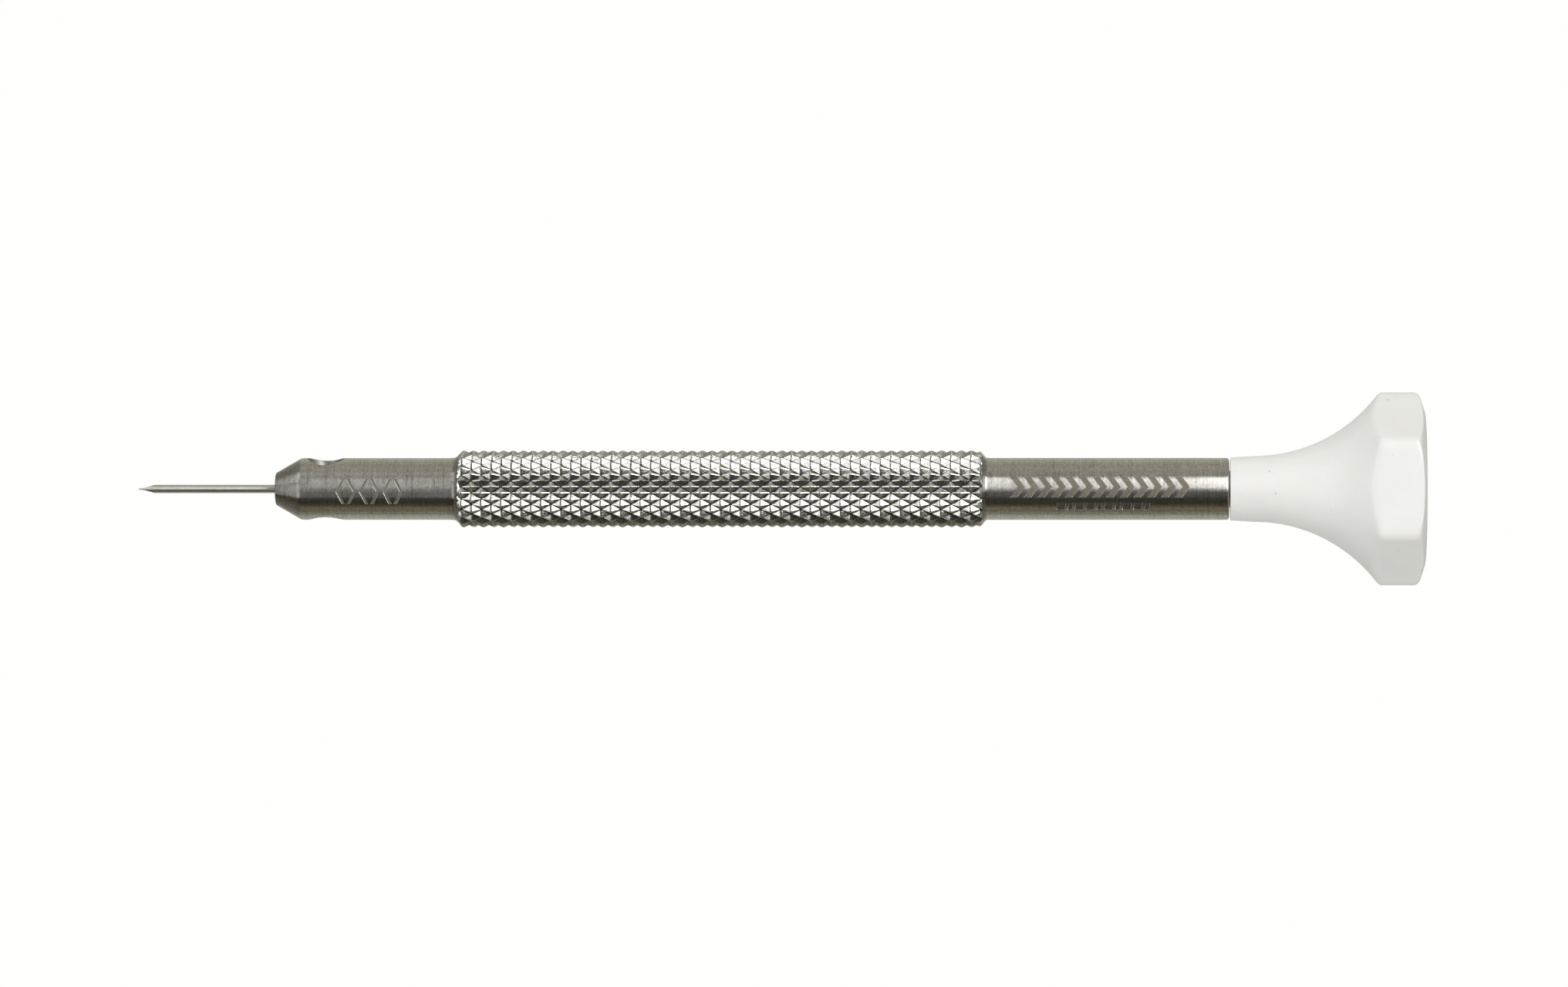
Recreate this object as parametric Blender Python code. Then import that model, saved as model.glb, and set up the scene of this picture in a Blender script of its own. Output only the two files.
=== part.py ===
"""Watchmaker's screwdriver: a knurled steel handle, a clamped wire blade and a free-turning head.

Sizes are in millimetres and become metres when a mesh is made. The origin is the centre of the
blade's tip, +X runs along the handle to the head, and the flat that the head rests on faces down.
A profile is a list of (x, radius) points of a piece turned about the X axis.
"""

from math import asin, cos, degrees, pi, radians, sin, tan

import bmesh
import bpy
from mathutils import Matrix, Vector

MM = 0.001

# Fits: the gap that pressed, screwed and running pieces keep between their facets
PRESS_GAP = 0.02
THREAD_GAP = 0.03
RUNNING_GAP = 0.06
BLADE_BORE_GAP = 0.04
GROOVE_GAP = 0.04

# Blade: round wire, ground to a wedge that is as wide as the wire
BLADE_RADIUS = 0.30
BLADE_LENGTH = 24.0
TIP_THICKNESS = 0.09
TIP_TAPER = 1.10

# Handle
NOSE_X = 9.70
NOSE_RADIUS = 1.135
CONE_HALF_ANGLE = radians(30)
PLAIN_RADIUS = 2.17
KNURL_RADIUS = 2.71
KNURL_FROM, KNURL_TO = 22.4, 59.6
KNURL_CHAMFER = 0.45
HANDLE_END = 76.57
HANDLE_CHAMFER = 0.12
BORE_SPARE_LENGTH = 0.2
BLADE_BORE_RADIUS = BLADE_RADIUS + BLADE_BORE_GAP
BLADE_BORE_END = BLADE_LENGTH + BORE_SPARE_LENGTH

# Clamp screws: one axis across the handle, with a screw and a countersink at each end of it
CLAMP_X = 13.24
CLAMP_TILT = radians(8)
SCREW_RADIUS = 0.80
SCREW_POINT_RADIUS, SCREW_POINT_LENGTH = 0.50, 0.20
SCREW_CHAMFER = 0.08
SCREW_FROM, SCREW_TO = BLADE_RADIUS + THREAD_GAP, 1.14
SCREW_SLOT_WIDTH, SCREW_SLOT_DEPTH = 0.24, 0.34
SCREW_SLOT_TURNS = {"upper": radians(25), "lower": radians(70)}
COUNTERSINK_RADIUS = 1.32
COUNTERSINK_HALF_ANGLE = radians(30)

# Spindle: pressed into the handle, and its collar carries the head's thrust
SPINDLE_RADIUS = 1.00
SPINDLE_CHAMFER = 0.20
SPINDLE_FROM, SPINDLE_TO = 66.8, 87.8
COLLAR_RADIUS = 1.30
GROOVE_RADIUS = 0.75
CLIP_THICKNESS = 0.18
CLIP_RADIUS = 1.35
CLIP_OPENING = radians(64)

# Ball bearing, 2 x 5 x 2.3
BEARING_X = 84.80
BEARING_WIDTH = 2.30
BEARING_RADIUS = 2.50
BEARING_CHAMFER = 0.08
PITCH_RADIUS = 1.75
BALL_RADIUS = 0.397
BALL_COUNT = 7
RACE_RADIUS = 0.42
INNER_LAND, OUTER_LAND = 1.45, 2.05
SHIELD_INSET, SHIELD_THICKNESS = 0.06, 0.11
SHIELD_INNER, SHIELD_OUTER = 1.49, 2.12
SHIELD_GAP = 0.03
CAGE_INNER, CAGE_OUTER = 1.58, 1.92
CAGE_WIDTH = 1.20
CAGE_POCKET_RADIUS = 0.43

# Head
HEAD_X = 76.65
HEAD_END = 90.24
NECK_RADIUS = 2.20
NECK_END, NECK_END_RADIUS = 78.31, 2.30
FLARE_RADIUS = 10.75
HEX_HALF_FLATS = 5.90
HEX_CORNER_RADIUS = 0.50
RIM_RADIUS = 6.95
END_RADIUS = 5.25
END_SLOPE = 0.36
END_EDGE_HEIGHT, END_EDGE_LENGTH = 0.25, 0.03
SMALL_EDGE = 0.06
SHOULDER_SLOPE_LENGTH = 0.6
CAP_RADIUS = 4.00
CAP_FROM, CAP_TO = 88.03, 90.20
CAP_DISH_RADIUS, CAP_DISH_DEPTH = 3.40, 0.70

# Facets round a full turn
COARSE, FINE = 32, 48


def clear_scene():
    for thing in list(bpy.data.objects):
        bpy.data.objects.remove(thing, do_unlink=True)


def finish(name, colour, metallic, roughness):
    """A material with a plain Principled BSDF."""
    material = bpy.data.materials.new(name)
    material.use_nodes = True
    shader = material.node_tree.nodes["Principled BSDF"]
    shader.inputs["Base Color"].default_value = (*colour, 1.0)
    shader.inputs["Metallic"].default_value = metallic
    shader.inputs["Roughness"].default_value = roughness
    return material


def axis_empty(name, location, rotation=(0.0, 0.0, 0.0)):
    """An empty on a joint's axis, which the pieces that move about it hang from."""
    empty = bpy.data.objects.new(name, None)
    empty.location = Vector(location) * MM
    empty.rotation_euler = rotation
    empty.empty_display_size = 2 * MM
    bpy.context.scene.collection.objects.link(empty)
    return empty


def add_piece(name, bm, material=None, parent=None, origin_x=0.0):
    """An object from a bmesh in millimetres, whose point origin_x on the X axis becomes its origin.

    That origin is on the parent's, or stays where it is when there is no parent.
    """
    bmesh.ops.recalc_face_normals(bm, faces=bm.faces)
    bm.transform(Matrix.Scale(MM, 4) @ Matrix.Translation((-origin_x, 0, 0)))
    mesh = bpy.data.meshes.new(name)
    bm.to_mesh(mesh)
    bm.free()
    mesh.shade_smooth()
    mesh.set_sharp_from_angle(angle=radians(35))
    piece = bpy.data.objects.new(name, mesh)
    if parent:
        piece.parent = parent
    else:
        piece.location.x = origin_x * MM
    if material:
        mesh.materials.append(material)
    bpy.context.scene.collection.objects.link(piece)
    return piece


def add_cutter(name, bm, parent=None):
    cutter = add_piece(name, bm, parent=parent)
    cutter.hide_render = True
    cutter.display_type = "WIRE"
    return cutter


def boolean(piece, cutter, operation="DIFFERENCE"):
    modifier = piece.modifiers.new(cutter.name, "BOOLEAN")
    modifier.operation = operation
    modifier.object = cutter
    modifier.solver = "EXACT"


def arc(centre_x, centre_r, radius, start, stop, steps):
    """The points of an arc in the (x, radius) plane, between two angles in degrees."""
    angles = [radians(start + (stop - start) * i / steps) for i in range(steps + 1)]
    return [(centre_x + radius * cos(a), centre_r + radius * sin(a)) for a in angles]


def skin(bm, first, second, wrap):
    """The faces between two rings, either of which may be one point on the axis."""
    count = max(len(first), len(second))
    for i in range(count if wrap else count - 1):
        j = (i + 1) % count
        if len(first) == 1:
            bm.faces.new((first[0], second[i], second[j]))
        elif len(second) == 1:
            bm.faces.new((first[i], second[0], first[j]))
        else:
            bm.faces.new((first[i], second[i], second[j], first[j]))


def turned(profile, facets, sweep=2 * pi):
    """A profile turned about the X axis. One that doesn't end on the axis closes into a ring."""
    bm = bmesh.new()
    full = sweep == 2 * pi
    angles = [sweep * i / facets for i in range(facets if full else facets + 1)]
    rings = []
    for x, radius in profile:
        around = angles if radius > 0 else [0.0]
        rings.append([bm.verts.new((x, radius * cos(a), radius * sin(a))) for a in around])
    if len(rings[0]) > 1:
        rings.append(rings[0])
    for first, second in zip(rings, rings[1:]):
        skin(bm, first, second, full)
    if not full:
        bm.faces.new([ring[0] for ring in rings[:-1]])
        bm.faces.new([ring[-1] for ring in rings[:-1]])
    return bm


def cylinder(start_x, end_x, radius, facets):
    return turned([(start_x, 0), (start_x, radius), (end_x, radius), (end_x, 0)], facets)


def cut_flat(bm, point, normal):
    """Cuts away what lies on the normal's side of a plane, and closes the cut."""
    geometry = bm.verts[:] + bm.edges[:] + bm.faces[:]
    bmesh.ops.bisect_plane(bm, geom=geometry, plane_co=point, plane_no=normal, clear_outer=True)
    bmesh.ops.holes_fill(bm, edges=[edge for edge in bm.edges if edge.is_boundary])


def make_blade():
    bm = cylinder(0, BLADE_LENGTH, BLADE_RADIUS, COARSE)
    half = TIP_THICKNESS / 2
    for side in (1, -1):
        cut_flat(bm, (0, side * half, 0), (half - BLADE_RADIUS, side * TIP_TAPER, 0))
    add_piece("blade", bm, finish("blade_steel", (0.42, 0.41, 0.38), 1.0, 0.30))


def make_handle(clamp_axis):
    cone_length = (PLAIN_RADIUS - NOSE_RADIUS) / tan(CONE_HALF_ANGLE)
    bore_radius = SPINDLE_RADIUS + PRESS_GAP
    bore_start = SPINDLE_FROM - BORE_SPARE_LENGTH
    profile = [
        (BLADE_BORE_END + BLADE_BORE_RADIUS * tan(CONE_HALF_ANGLE), 0),
        (BLADE_BORE_END, BLADE_BORE_RADIUS),
        (NOSE_X, BLADE_BORE_RADIUS),
        (NOSE_X, NOSE_RADIUS),
        (NOSE_X + cone_length, PLAIN_RADIUS),
        (KNURL_FROM, PLAIN_RADIUS),
        (KNURL_FROM + KNURL_CHAMFER, KNURL_RADIUS),
        (KNURL_TO - KNURL_CHAMFER, KNURL_RADIUS),
        (KNURL_TO, PLAIN_RADIUS),
        (HANDLE_END - HANDLE_CHAMFER, PLAIN_RADIUS),
        (HANDLE_END, PLAIN_RADIUS - HANDLE_CHAMFER),
        (HANDLE_END, bore_radius),
        (bore_start, bore_radius),
        (bore_start - bore_radius * tan(CONE_HALF_ANGLE), 0),
    ]
    steel = finish("handle_steel", (0.46, 0.45, 0.42), 1.0, 0.28)
    handle = add_piece("handle_body", turned(profile, FINE), steel, origin_x=NOSE_X)

    # The screw hole and the two countersinks are one cutter, as long as the handle is thick.
    hole = SCREW_RADIUS + THREAD_GAP
    slope = tan(COUNTERSINK_HALF_ANGLE)
    throat = PLAIN_RADIUS - (COUNTERSINK_RADIUS - hole) / slope
    outside = PLAIN_RADIUS + 1
    mouth = COUNTERSINK_RADIUS + slope
    half_profile = [(throat, hole), (outside, mouth), (outside, 0)]
    profile = [(-x, radius) for x, radius in reversed(half_profile)] + half_profile
    boolean(handle, add_cutter("clamp_hole_cutter", turned(profile, FINE), clamp_axis))


def make_clamp_screws(clamp_axis):
    """Slotted grub screws, which face opposite ways along the clamp axis."""
    steel = finish("screw_steel", (0.36, 0.35, 0.33), 1.0, 0.35)
    profile = [
        (SCREW_FROM, 0),
        (SCREW_FROM, SCREW_POINT_RADIUS),
        (SCREW_FROM + SCREW_POINT_LENGTH, SCREW_RADIUS),
        (SCREW_TO - SCREW_CHAMFER, SCREW_RADIUS),
        (SCREW_TO, SCREW_RADIUS - SCREW_CHAMFER),
        (SCREW_TO, 0),
    ]
    for side, facing in (("upper", 0.0), ("lower", pi)):
        axis = axis_empty(f"clamp_axis_{side}", (0, 0, 0), (0, 0, facing))
        axis.parent = clamp_axis
        screw = add_piece(f"clamp_screw_{side}", turned(profile, COARSE), steel, axis)
        slot = bmesh.new()
        size = Vector((2 * SCREW_SLOT_DEPTH, SCREW_SLOT_WIDTH, 4 * SCREW_RADIUS))
        turn = Matrix.Rotation(SCREW_SLOT_TURNS[side], 4, "X")
        place = Matrix.Translation((SCREW_TO, 0, 0)) @ turn @ Matrix.Diagonal(size).to_4x4()
        bmesh.ops.create_cube(slot, size=1, matrix=place)
        boolean(screw, add_cutter(f"slot_cutter_{side}", slot, axis))


def make_spindle():
    groove = BEARING_X + BEARING_WIDTH + GROOVE_GAP
    groove_end = groove + CLIP_THICKNESS + 2 * PRESS_GAP
    chamfer = SPINDLE_CHAMFER
    profile = [
        (SPINDLE_FROM, 0),
        (SPINDLE_FROM, SPINDLE_RADIUS - chamfer),
        (SPINDLE_FROM + chamfer, SPINDLE_RADIUS),
        (HANDLE_END + PRESS_GAP, SPINDLE_RADIUS),
        (HANDLE_END + PRESS_GAP, COLLAR_RADIUS),
        (BEARING_X - PRESS_GAP, COLLAR_RADIUS),
        (BEARING_X - PRESS_GAP, SPINDLE_RADIUS),
        (groove, SPINDLE_RADIUS),
        (groove, GROOVE_RADIUS),
        (groove_end, GROOVE_RADIUS),
        (groove_end, SPINDLE_RADIUS),
        (SPINDLE_TO - chamfer, SPINDLE_RADIUS),
        (SPINDLE_TO, SPINDLE_RADIUS - chamfer),
        (SPINDLE_TO, 0),
    ]
    steel = finish("spindle_steel", (0.50, 0.49, 0.47), 1.0, 0.22)
    add_piece("head_spindle", turned(profile, COARSE), steel, origin_x=HEAD_X)

    inner = GROOVE_RADIUS + THREAD_GAP
    clip_x = groove + PRESS_GAP
    clip_end = clip_x + CLIP_THICKNESS
    profile = [(clip_x, inner), (clip_x, CLIP_RADIUS), (clip_end, CLIP_RADIUS), (clip_end, inner)]
    spring_steel = finish("clip_steel", (0.30, 0.29, 0.27), 1.0, 0.40)
    ring = turned(profile, COARSE - 6, 2 * pi - CLIP_OPENING)
    add_piece("retaining_clip", ring, spring_steel, origin_x=HEAD_X)


def race(land, sign):
    """The points of a ball race's groove, sunk by sign into a ring whose land has that radius."""
    lip = degrees(asin((land - PITCH_RADIUS) / RACE_RADIUS * sign))
    points = arc(0, 0, RACE_RADIUS, 180 - lip, lip, 8)
    middle = BEARING_X + BEARING_WIDTH / 2
    return [(middle + x, PITCH_RADIUS + sign * height) for x, height in points]


def make_bearing(head_axis, cage_axis):
    steel = finish("bearing_steel", (0.62, 0.61, 0.60), 1.0, 0.15)
    start, end = BEARING_X, BEARING_X + BEARING_WIDTH
    chamfer = BEARING_CHAMFER
    bore = SPINDLE_RADIUS + PRESS_GAP
    profile = [(start, bore), (start, INNER_LAND)]
    profile += race(INNER_LAND, -1)
    profile += [(end, INNER_LAND), (end, bore)]
    add_piece("bearing_inner_ring", turned(profile, COARSE), steel, origin_x=HEAD_X)

    # The outer ring's inner side has a recess for a shield at each end.
    recess = SHIELD_OUTER + SHIELD_GAP
    step = SHIELD_INSET + SHIELD_THICKNESS + SHIELD_GAP
    profile = [(end, recess), (end - step, recess), (end - step, OUTER_LAND)]
    profile += reversed(race(OUTER_LAND, 1))
    profile += [(start + step, OUTER_LAND), (start + step, recess), (start, recess)]
    profile += [(start, BEARING_RADIUS - chamfer), (start + chamfer, BEARING_RADIUS)]
    profile += [(end - chamfer, BEARING_RADIUS), (end, BEARING_RADIUS - chamfer)]
    add_piece("bearing_outer_ring", turned(profile, COARSE), steel, head_axis, HEAD_X)

    sheet = finish("shield_steel", (0.55, 0.54, 0.52), 1.0, 0.30)
    far_side = end - SHIELD_INSET - SHIELD_THICKNESS
    for name, x in (("front", start + SHIELD_INSET), ("rear", far_side)):
        back = x + SHIELD_THICKNESS
        profile = [(x, SHIELD_INNER), (x, SHIELD_OUTER), (back, SHIELD_OUTER), (back, SHIELD_INNER)]
        add_piece(f"bearing_shield_{name}", turned(profile, COARSE), sheet, head_axis, HEAD_X)

    # The balls and the cage are made about the cage's own centre.
    half = CAGE_WIDTH / 2
    profile = [(-half, CAGE_INNER), (-half, CAGE_OUTER), (half, CAGE_OUTER), (half, CAGE_INNER)]
    brass = finish("cage_brass", (0.60, 0.42, 0.16), 1.0, 0.35)
    cage = add_piece("bearing_cage", turned(profile, 6 * BALL_COUNT), brass, cage_axis)
    pockets = bmesh.new()
    for number in range(BALL_COUNT):
        turn = Matrix.Rotation(2 * pi * number / BALL_COUNT, 4, "X")
        place = turn @ Matrix.Translation((0, PITCH_RADIUS, 0))
        ball = bmesh.new()
        bmesh.ops.create_uvsphere(ball, u_segments=16, v_segments=8, radius=BALL_RADIUS, matrix=place)
        add_piece(f"bearing_ball_{number + 1}", ball, steel, cage_axis)
        bmesh.ops.create_cone(
            pockets,
            cap_ends=True,
            segments=16,
            radius1=CAGE_POCKET_RADIUS,
            radius2=CAGE_POCKET_RADIUS,
            depth=1.0,
            matrix=place @ Matrix.Rotation(pi / 2, 4, "X"),
        )
    boolean(cage, add_cutter("cage_pocket_cutter", pockets, cage_axis))


def hex_prism(start_x, end_x):
    """A hexagonal prism along X with rounded edges and two of its flats facing up and down."""
    bm = bmesh.new()
    centre = (HEX_HALF_FLATS - HEX_CORNER_RADIUS) / cos(pi / 6)
    outline = []
    for corner in range(6):
        middle = corner * pi / 3
        for step in (-2, -1, 0, 1, 2):
            a = middle + step * pi / 12
            y = centre * cos(middle) + HEX_CORNER_RADIUS * cos(a)
            z = centre * sin(middle) + HEX_CORNER_RADIUS * sin(a)
            outline.append((y, z))
    ends = [[bm.verts.new((x, y, z)) for y, z in outline] for x in (start_x, end_x)]
    skin(bm, ends[0], ends[1], wrap=True)
    for end in ends:
        bm.faces.new(end)
    return bm


def make_head(head_axis):
    bore = COLLAR_RADIUS + RUNNING_GAP
    seat = BEARING_RADIUS + PRESS_GAP
    shoulder = BEARING_X - THREAD_GAP
    flare_centre = NECK_END_RADIUS + FLARE_RADIUS
    flare_stop = degrees(asin((RIM_RADIUS - flare_centre) / FLARE_RADIUS))
    edge = SMALL_EDGE
    profile = [
        (HEAD_X, bore),
        (HEAD_X, NECK_RADIUS - edge),
        (HEAD_X + edge, NECK_RADIUS),
        *arc(NECK_END, flare_centre, FLARE_RADIUS, -90, flare_stop, 12),
        (HEAD_END - (RIM_RADIUS - END_RADIUS) * END_SLOPE, RIM_RADIUS),
        (HEAD_END - END_EDGE_HEIGHT * END_SLOPE, END_RADIUS + END_EDGE_HEIGHT),
        (HEAD_END - END_EDGE_LENGTH, END_RADIUS),
        (HEAD_END, END_RADIUS - END_EDGE_HEIGHT),
        (HEAD_END, CAP_RADIUS),
        (CAP_FROM - THREAD_GAP, CAP_RADIUS),
        (CAP_FROM - THREAD_GAP, seat),
        (shoulder, seat),
        (shoulder, OUTER_LAND),
        (shoulder - SHOULDER_SLOPE_LENGTH, bore),
    ]
    plastic = finish("white_plastic", (0.72, 0.72, 0.68), 0.0, 0.38)
    shell = add_piece("head_shell", turned(profile, FINE), plastic, head_axis, HEAD_X)
    beyond = HEX_HALF_FLATS
    prism = add_cutter("hexagon_guide", hex_prism(HEAD_X - beyond, HEAD_END + beyond))
    boolean(shell, prism, "INTERSECT")

    # The finger rest is a shallow part of a sphere.
    radius = CAP_RADIUS - THREAD_GAP
    dish = (CAP_DISH_RADIUS**2 + CAP_DISH_DEPTH**2) / (2 * CAP_DISH_DEPTH)
    dish_centre = CAP_TO - CAP_DISH_DEPTH + dish
    rim_angle = degrees(asin(CAP_DISH_RADIUS / dish))
    hollow = arc(dish_centre, 0, dish, 180 - rim_angle, 180, 6)
    profile = [(CAP_FROM, 0), (CAP_FROM, radius), (CAP_TO - edge, radius)]
    profile += [(CAP_TO, radius - edge), *hollow[:-1], (CAP_TO - CAP_DISH_DEPTH, 0)]
    cap_plastic = finish("cap_plastic", (0.72, 0.72, 0.68), 0.0, 0.38)
    add_piece("finger_cap", turned(profile, FINE), cap_plastic, head_axis, HEAD_X)


def main():
    clear_scene()
    clamp_axis = axis_empty("clamp_axis", (CLAMP_X, 0, 0), (0, -CLAMP_TILT, pi / 2))
    head_axis = axis_empty("head_axis", (HEAD_X, 0, 0))
    cage_axis = axis_empty("cage_axis", (BEARING_X + BEARING_WIDTH / 2, 0, 0))
    make_blade()
    make_handle(clamp_axis)
    make_clamp_screws(clamp_axis)
    make_spindle()
    make_bearing(head_axis, cage_axis)
    make_head(head_axis)


main()
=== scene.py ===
from math import atan2, cos, floor, hypot, pi, radians, sin, sqrt, tan

import bmesh
import bpy
from mathutils import Matrix, Vector


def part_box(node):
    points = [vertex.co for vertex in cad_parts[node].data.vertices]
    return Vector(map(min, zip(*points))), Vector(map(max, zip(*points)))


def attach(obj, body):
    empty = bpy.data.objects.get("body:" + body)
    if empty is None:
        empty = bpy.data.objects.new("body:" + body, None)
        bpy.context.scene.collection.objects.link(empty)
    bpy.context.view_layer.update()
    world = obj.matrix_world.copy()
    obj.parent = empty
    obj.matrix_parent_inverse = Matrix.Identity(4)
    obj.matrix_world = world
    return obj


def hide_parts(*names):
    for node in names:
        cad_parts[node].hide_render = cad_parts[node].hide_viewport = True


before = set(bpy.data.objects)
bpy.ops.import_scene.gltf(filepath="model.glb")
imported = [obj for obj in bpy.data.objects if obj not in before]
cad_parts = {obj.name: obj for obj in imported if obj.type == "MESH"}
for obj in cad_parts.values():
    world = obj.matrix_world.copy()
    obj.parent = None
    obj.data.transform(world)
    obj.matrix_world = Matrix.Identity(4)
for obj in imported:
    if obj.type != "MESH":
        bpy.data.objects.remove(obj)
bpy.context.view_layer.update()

# Shapes are made in millimetres, and add_piece turns them into metres.
MM = 0.001

# How many sides round pieces have
BLADE_SEGMENTS, WHEEL_SEGMENTS = 64, 360
SCREW_SEGMENTS, HOLE_SEGMENTS = 72, 96
HEAD_SEGMENTS, CAP_SEGMENTS = 132, 96


def extent(node):
    """A CAD node's lowest and highest corners in millimetres."""
    lo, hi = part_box(node)
    return lo / MM, hi / MM


# Handle. Its ends and its largest radius come from the CAD box.
_lo, _hi = extent("handle_body")
NOSE_X, HANDLE_END, KNURL_RADIUS = _lo.x, _hi.x, _hi.y
NOSE_RADIUS = 1.135
CONE_HALF_ANGLE = radians(30)
PLAIN_RADIUS = 2.17
KNURL_FROM, KNURL_TO = 22.4, 59.6
KNURL_CHAMFER = 0.45
KNURL_DEPTH = 0.32
KNURL_STEP = 0.699
KNURL_ROWS = 36
KNURL_PHASE = 1.23
KNURL_TURN = radians(6.6)
# How far the rounded top of a ridge reaches to each side, as a part of a cell of the knurl
RIDGE_WIDTH = 0.10
# How gradually the chamfers leave the plain parts
KNURL_FRONT_SOFTNESS, KNURL_REAR_SOFTNESS = 0.12, 0.05
# The knurl's rings reach past its ends, and they are closer together near them.
KNURL_BEFORE, KNURL_AFTER = 0.45, 0.20
KNURL_END_ZONE, KNURL_END_STEP = 0.6, 0.045
# Where the plain parts' last rings are, outside the knurl's own
PLAIN_FRONT_GAP, PLAIN_REAR_GAP = 0.5, 0.25
PLAIN_REAR_RING = 68.0
NOSE_EDGE, NOSE_BORE_EDGE, CONE_EDGE = 0.06, 0.04, 0.16
HANDLE_CHAMFER = 0.12
HANDLE_END_EDGE, HANDLE_END_CORNER = 0.04, 0.03
BLADE_BORE_RADIUS = 0.34
BLADE_BORE_END = 24.2
SPINDLE_BORE_RADIUS = 1.02
SPINDLE_BORE_FROM = 66.6

# Blade
_lo, _hi = extent("blade")
BLADE_TIP, BLADE_END, BLADE_RADIUS = _lo.x, _hi.x, _hi.z
TIP_THICKNESS = 0.09
TIP_TAPER = 1.10
WHEEL_RADIUS = 3.6
TAPER_RINGS, TAPER_RING_STEP = 3, 0.3
BLADE_END_EDGE = 0.06

# Clamp screws, in a frame whose X axis runs out of the handle along the screw
CLAMP_X = 13.24
CLAMP_TILT = radians(8)
SCREW_RADIUS = 0.80
SCREW_ROOT = 0.69
SCREW_POINT_RADIUS, SCREW_POINT_LENGTH = 0.50, 0.20
SCREW_CHAMFER = 0.08
SCREW_PITCH = 0.35
SCREW_FROM, SCREW_TO = 0.33, 1.14
SCREW_RINGS, SCREW_RING_STEP = 22, 0.0225
# The thread starts a little after the point, and fades in and out.
THREAD_GAP, THREAD_FADE = 0.02, 0.06
THREAD_CREST = 1.25
SCREW_HOLE_RADIUS = 0.83
SCREW_SLOT_WIDTH, SCREW_SLOT_DEPTH = 0.24, 0.34
SCREW_SLOT_TURNS = {"upper": radians(25), "lower": radians(70)}
COUNTERSINK_RADIUS = 1.32
COUNTERSINK_HALF_ANGLE = radians(30)

# Head
_lo, _hi = extent("head_shell")
HEAD_X, HEAD_END, HEX_HALF_FLATS = _lo.x, _hi.x, _hi.z
HEX_CORNER_RADIUS = 0.50
NECK_RADIUS = 2.20
NECK_END, NECK_END_RADIUS = 78.31, 2.30
FLARE_RADIUS = 10.75
RIM_RADIUS = 6.95
END_RADIUS = 5.25
END_SLOPE = 0.32
END_ROUND_FROM, END_ROUNDING = 6.3, 0.95
FLARE_DIP, FLARE_DIP_FROM = 0.42, 4.2
HEAD_BORE = 1.36
BEARING_SEAT = 2.52
BEARING_SHOULDER = 84.77
OUTER_LAND = 2.05
INNER_CONE_LENGTH = 0.6
_lo, _hi = extent("finger_cap")
CAP_FROM, CAP_TO, CAP_RADIUS = _lo.x, _hi.x, _hi.y
CAP_DISH_RADIUS, CAP_DISH_DEPTH = 3.40, 0.70
CAP_GAP = 0.03


# ---------------------------------------------------------------- mesh tools


def bezier(start, corner, end, steps):
    """Points of a rounded corner, a quadratic curve that stays inside the corner."""
    points = []
    for i in range(steps + 1):
        t = i / steps
        points.append(start.lerp(corner, t).lerp(corner.lerp(end, t), t))
    return points


def rounded(corners, steps=4):
    """A profile through (x, radius, size) corners, each rounded over its size from the corner."""
    points = []
    for i, (x, radius, size) in enumerate(corners):
        here = Vector((x, radius))
        if not size:
            points.append(here)
            continue
        before = Vector(corners[i - 1][:2]) - here
        after = Vector(corners[(i + 1) % len(corners)][:2]) - here
        start = here + before.normalized() * size
        end = here + after.normalized() * size
        points += bezier(start, here, end, steps)
    return [(p.x, p.y) for p in points]


def arc(centre_x, centre_r, radius, start, stop, steps):
    """Profile points on a circle, between two angles."""
    angles = [start + (stop - start) * i / steps for i in range(steps + 1)]
    return [(centre_x + radius * cos(a), centre_r + radius * sin(a)) for a in angles]


def skin(bm, rings):
    """Faces between each ring and the next. A ring may be one point."""
    for first, second in zip(rings, rings[1:]):
        count = max(len(first), len(second))
        for i in range(count):
            j = (i + 1) % count
            if len(first) == 1:
                bm.faces.new((first[0], second[i], second[j]))
            elif len(second) == 1:
                bm.faces.new((first[i], second[0], first[j]))
            else:
                bm.faces.new((first[i], second[i], second[j], first[j]))


def lathe(profile, segments, shape=None):
    """A profile turned about X. shape(x, radius, angle) may change the radius on the way round."""
    bm = bmesh.new()
    angles = [2 * pi * i / segments for i in range(segments)]
    rings = []
    for x, radius in profile:
        ring = []
        for a in angles if radius > 0 else [0.0]:
            r = shape(x, radius, a) if shape and radius > 0 else radius
            ring.append(bm.verts.new((x, r * cos(a), r * sin(a))))
        rings.append(ring)
    if len(rings[0]) > 1:
        rings.append(rings[0])
    skin(bm, rings)
    return bm


def mesh_object(name, bm, materials=()):
    bmesh.ops.recalc_face_normals(bm, faces=bm.faces)
    mesh = bpy.data.meshes.new(name)
    bm.to_mesh(mesh)
    bm.free()
    for material in materials:
        mesh.materials.append(material)
    piece = bpy.data.objects.new(name, mesh)
    bpy.context.scene.collection.objects.link(piece)
    return piece


def cut(piece, bm, materials):
    """Cuts a solid out of a piece and keeps only the result."""
    cutter = mesh_object(f"{piece.name}_cutter", bm, materials)
    modifier = piece.modifiers.new("cut", "BOOLEAN")
    modifier.operation = "DIFFERENCE"
    modifier.object = cutter
    modifier.solver = "EXACT"
    graph = bpy.context.evaluated_depsgraph_get()
    result = bpy.data.meshes.new_from_object(piece.evaluated_get(graph))
    piece.modifiers.clear()
    old = piece.data
    piece.data = result
    bpy.data.meshes.remove(old)
    used = cutter.data
    bpy.data.objects.remove(cutter, do_unlink=True)
    bpy.data.meshes.remove(used)


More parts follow.
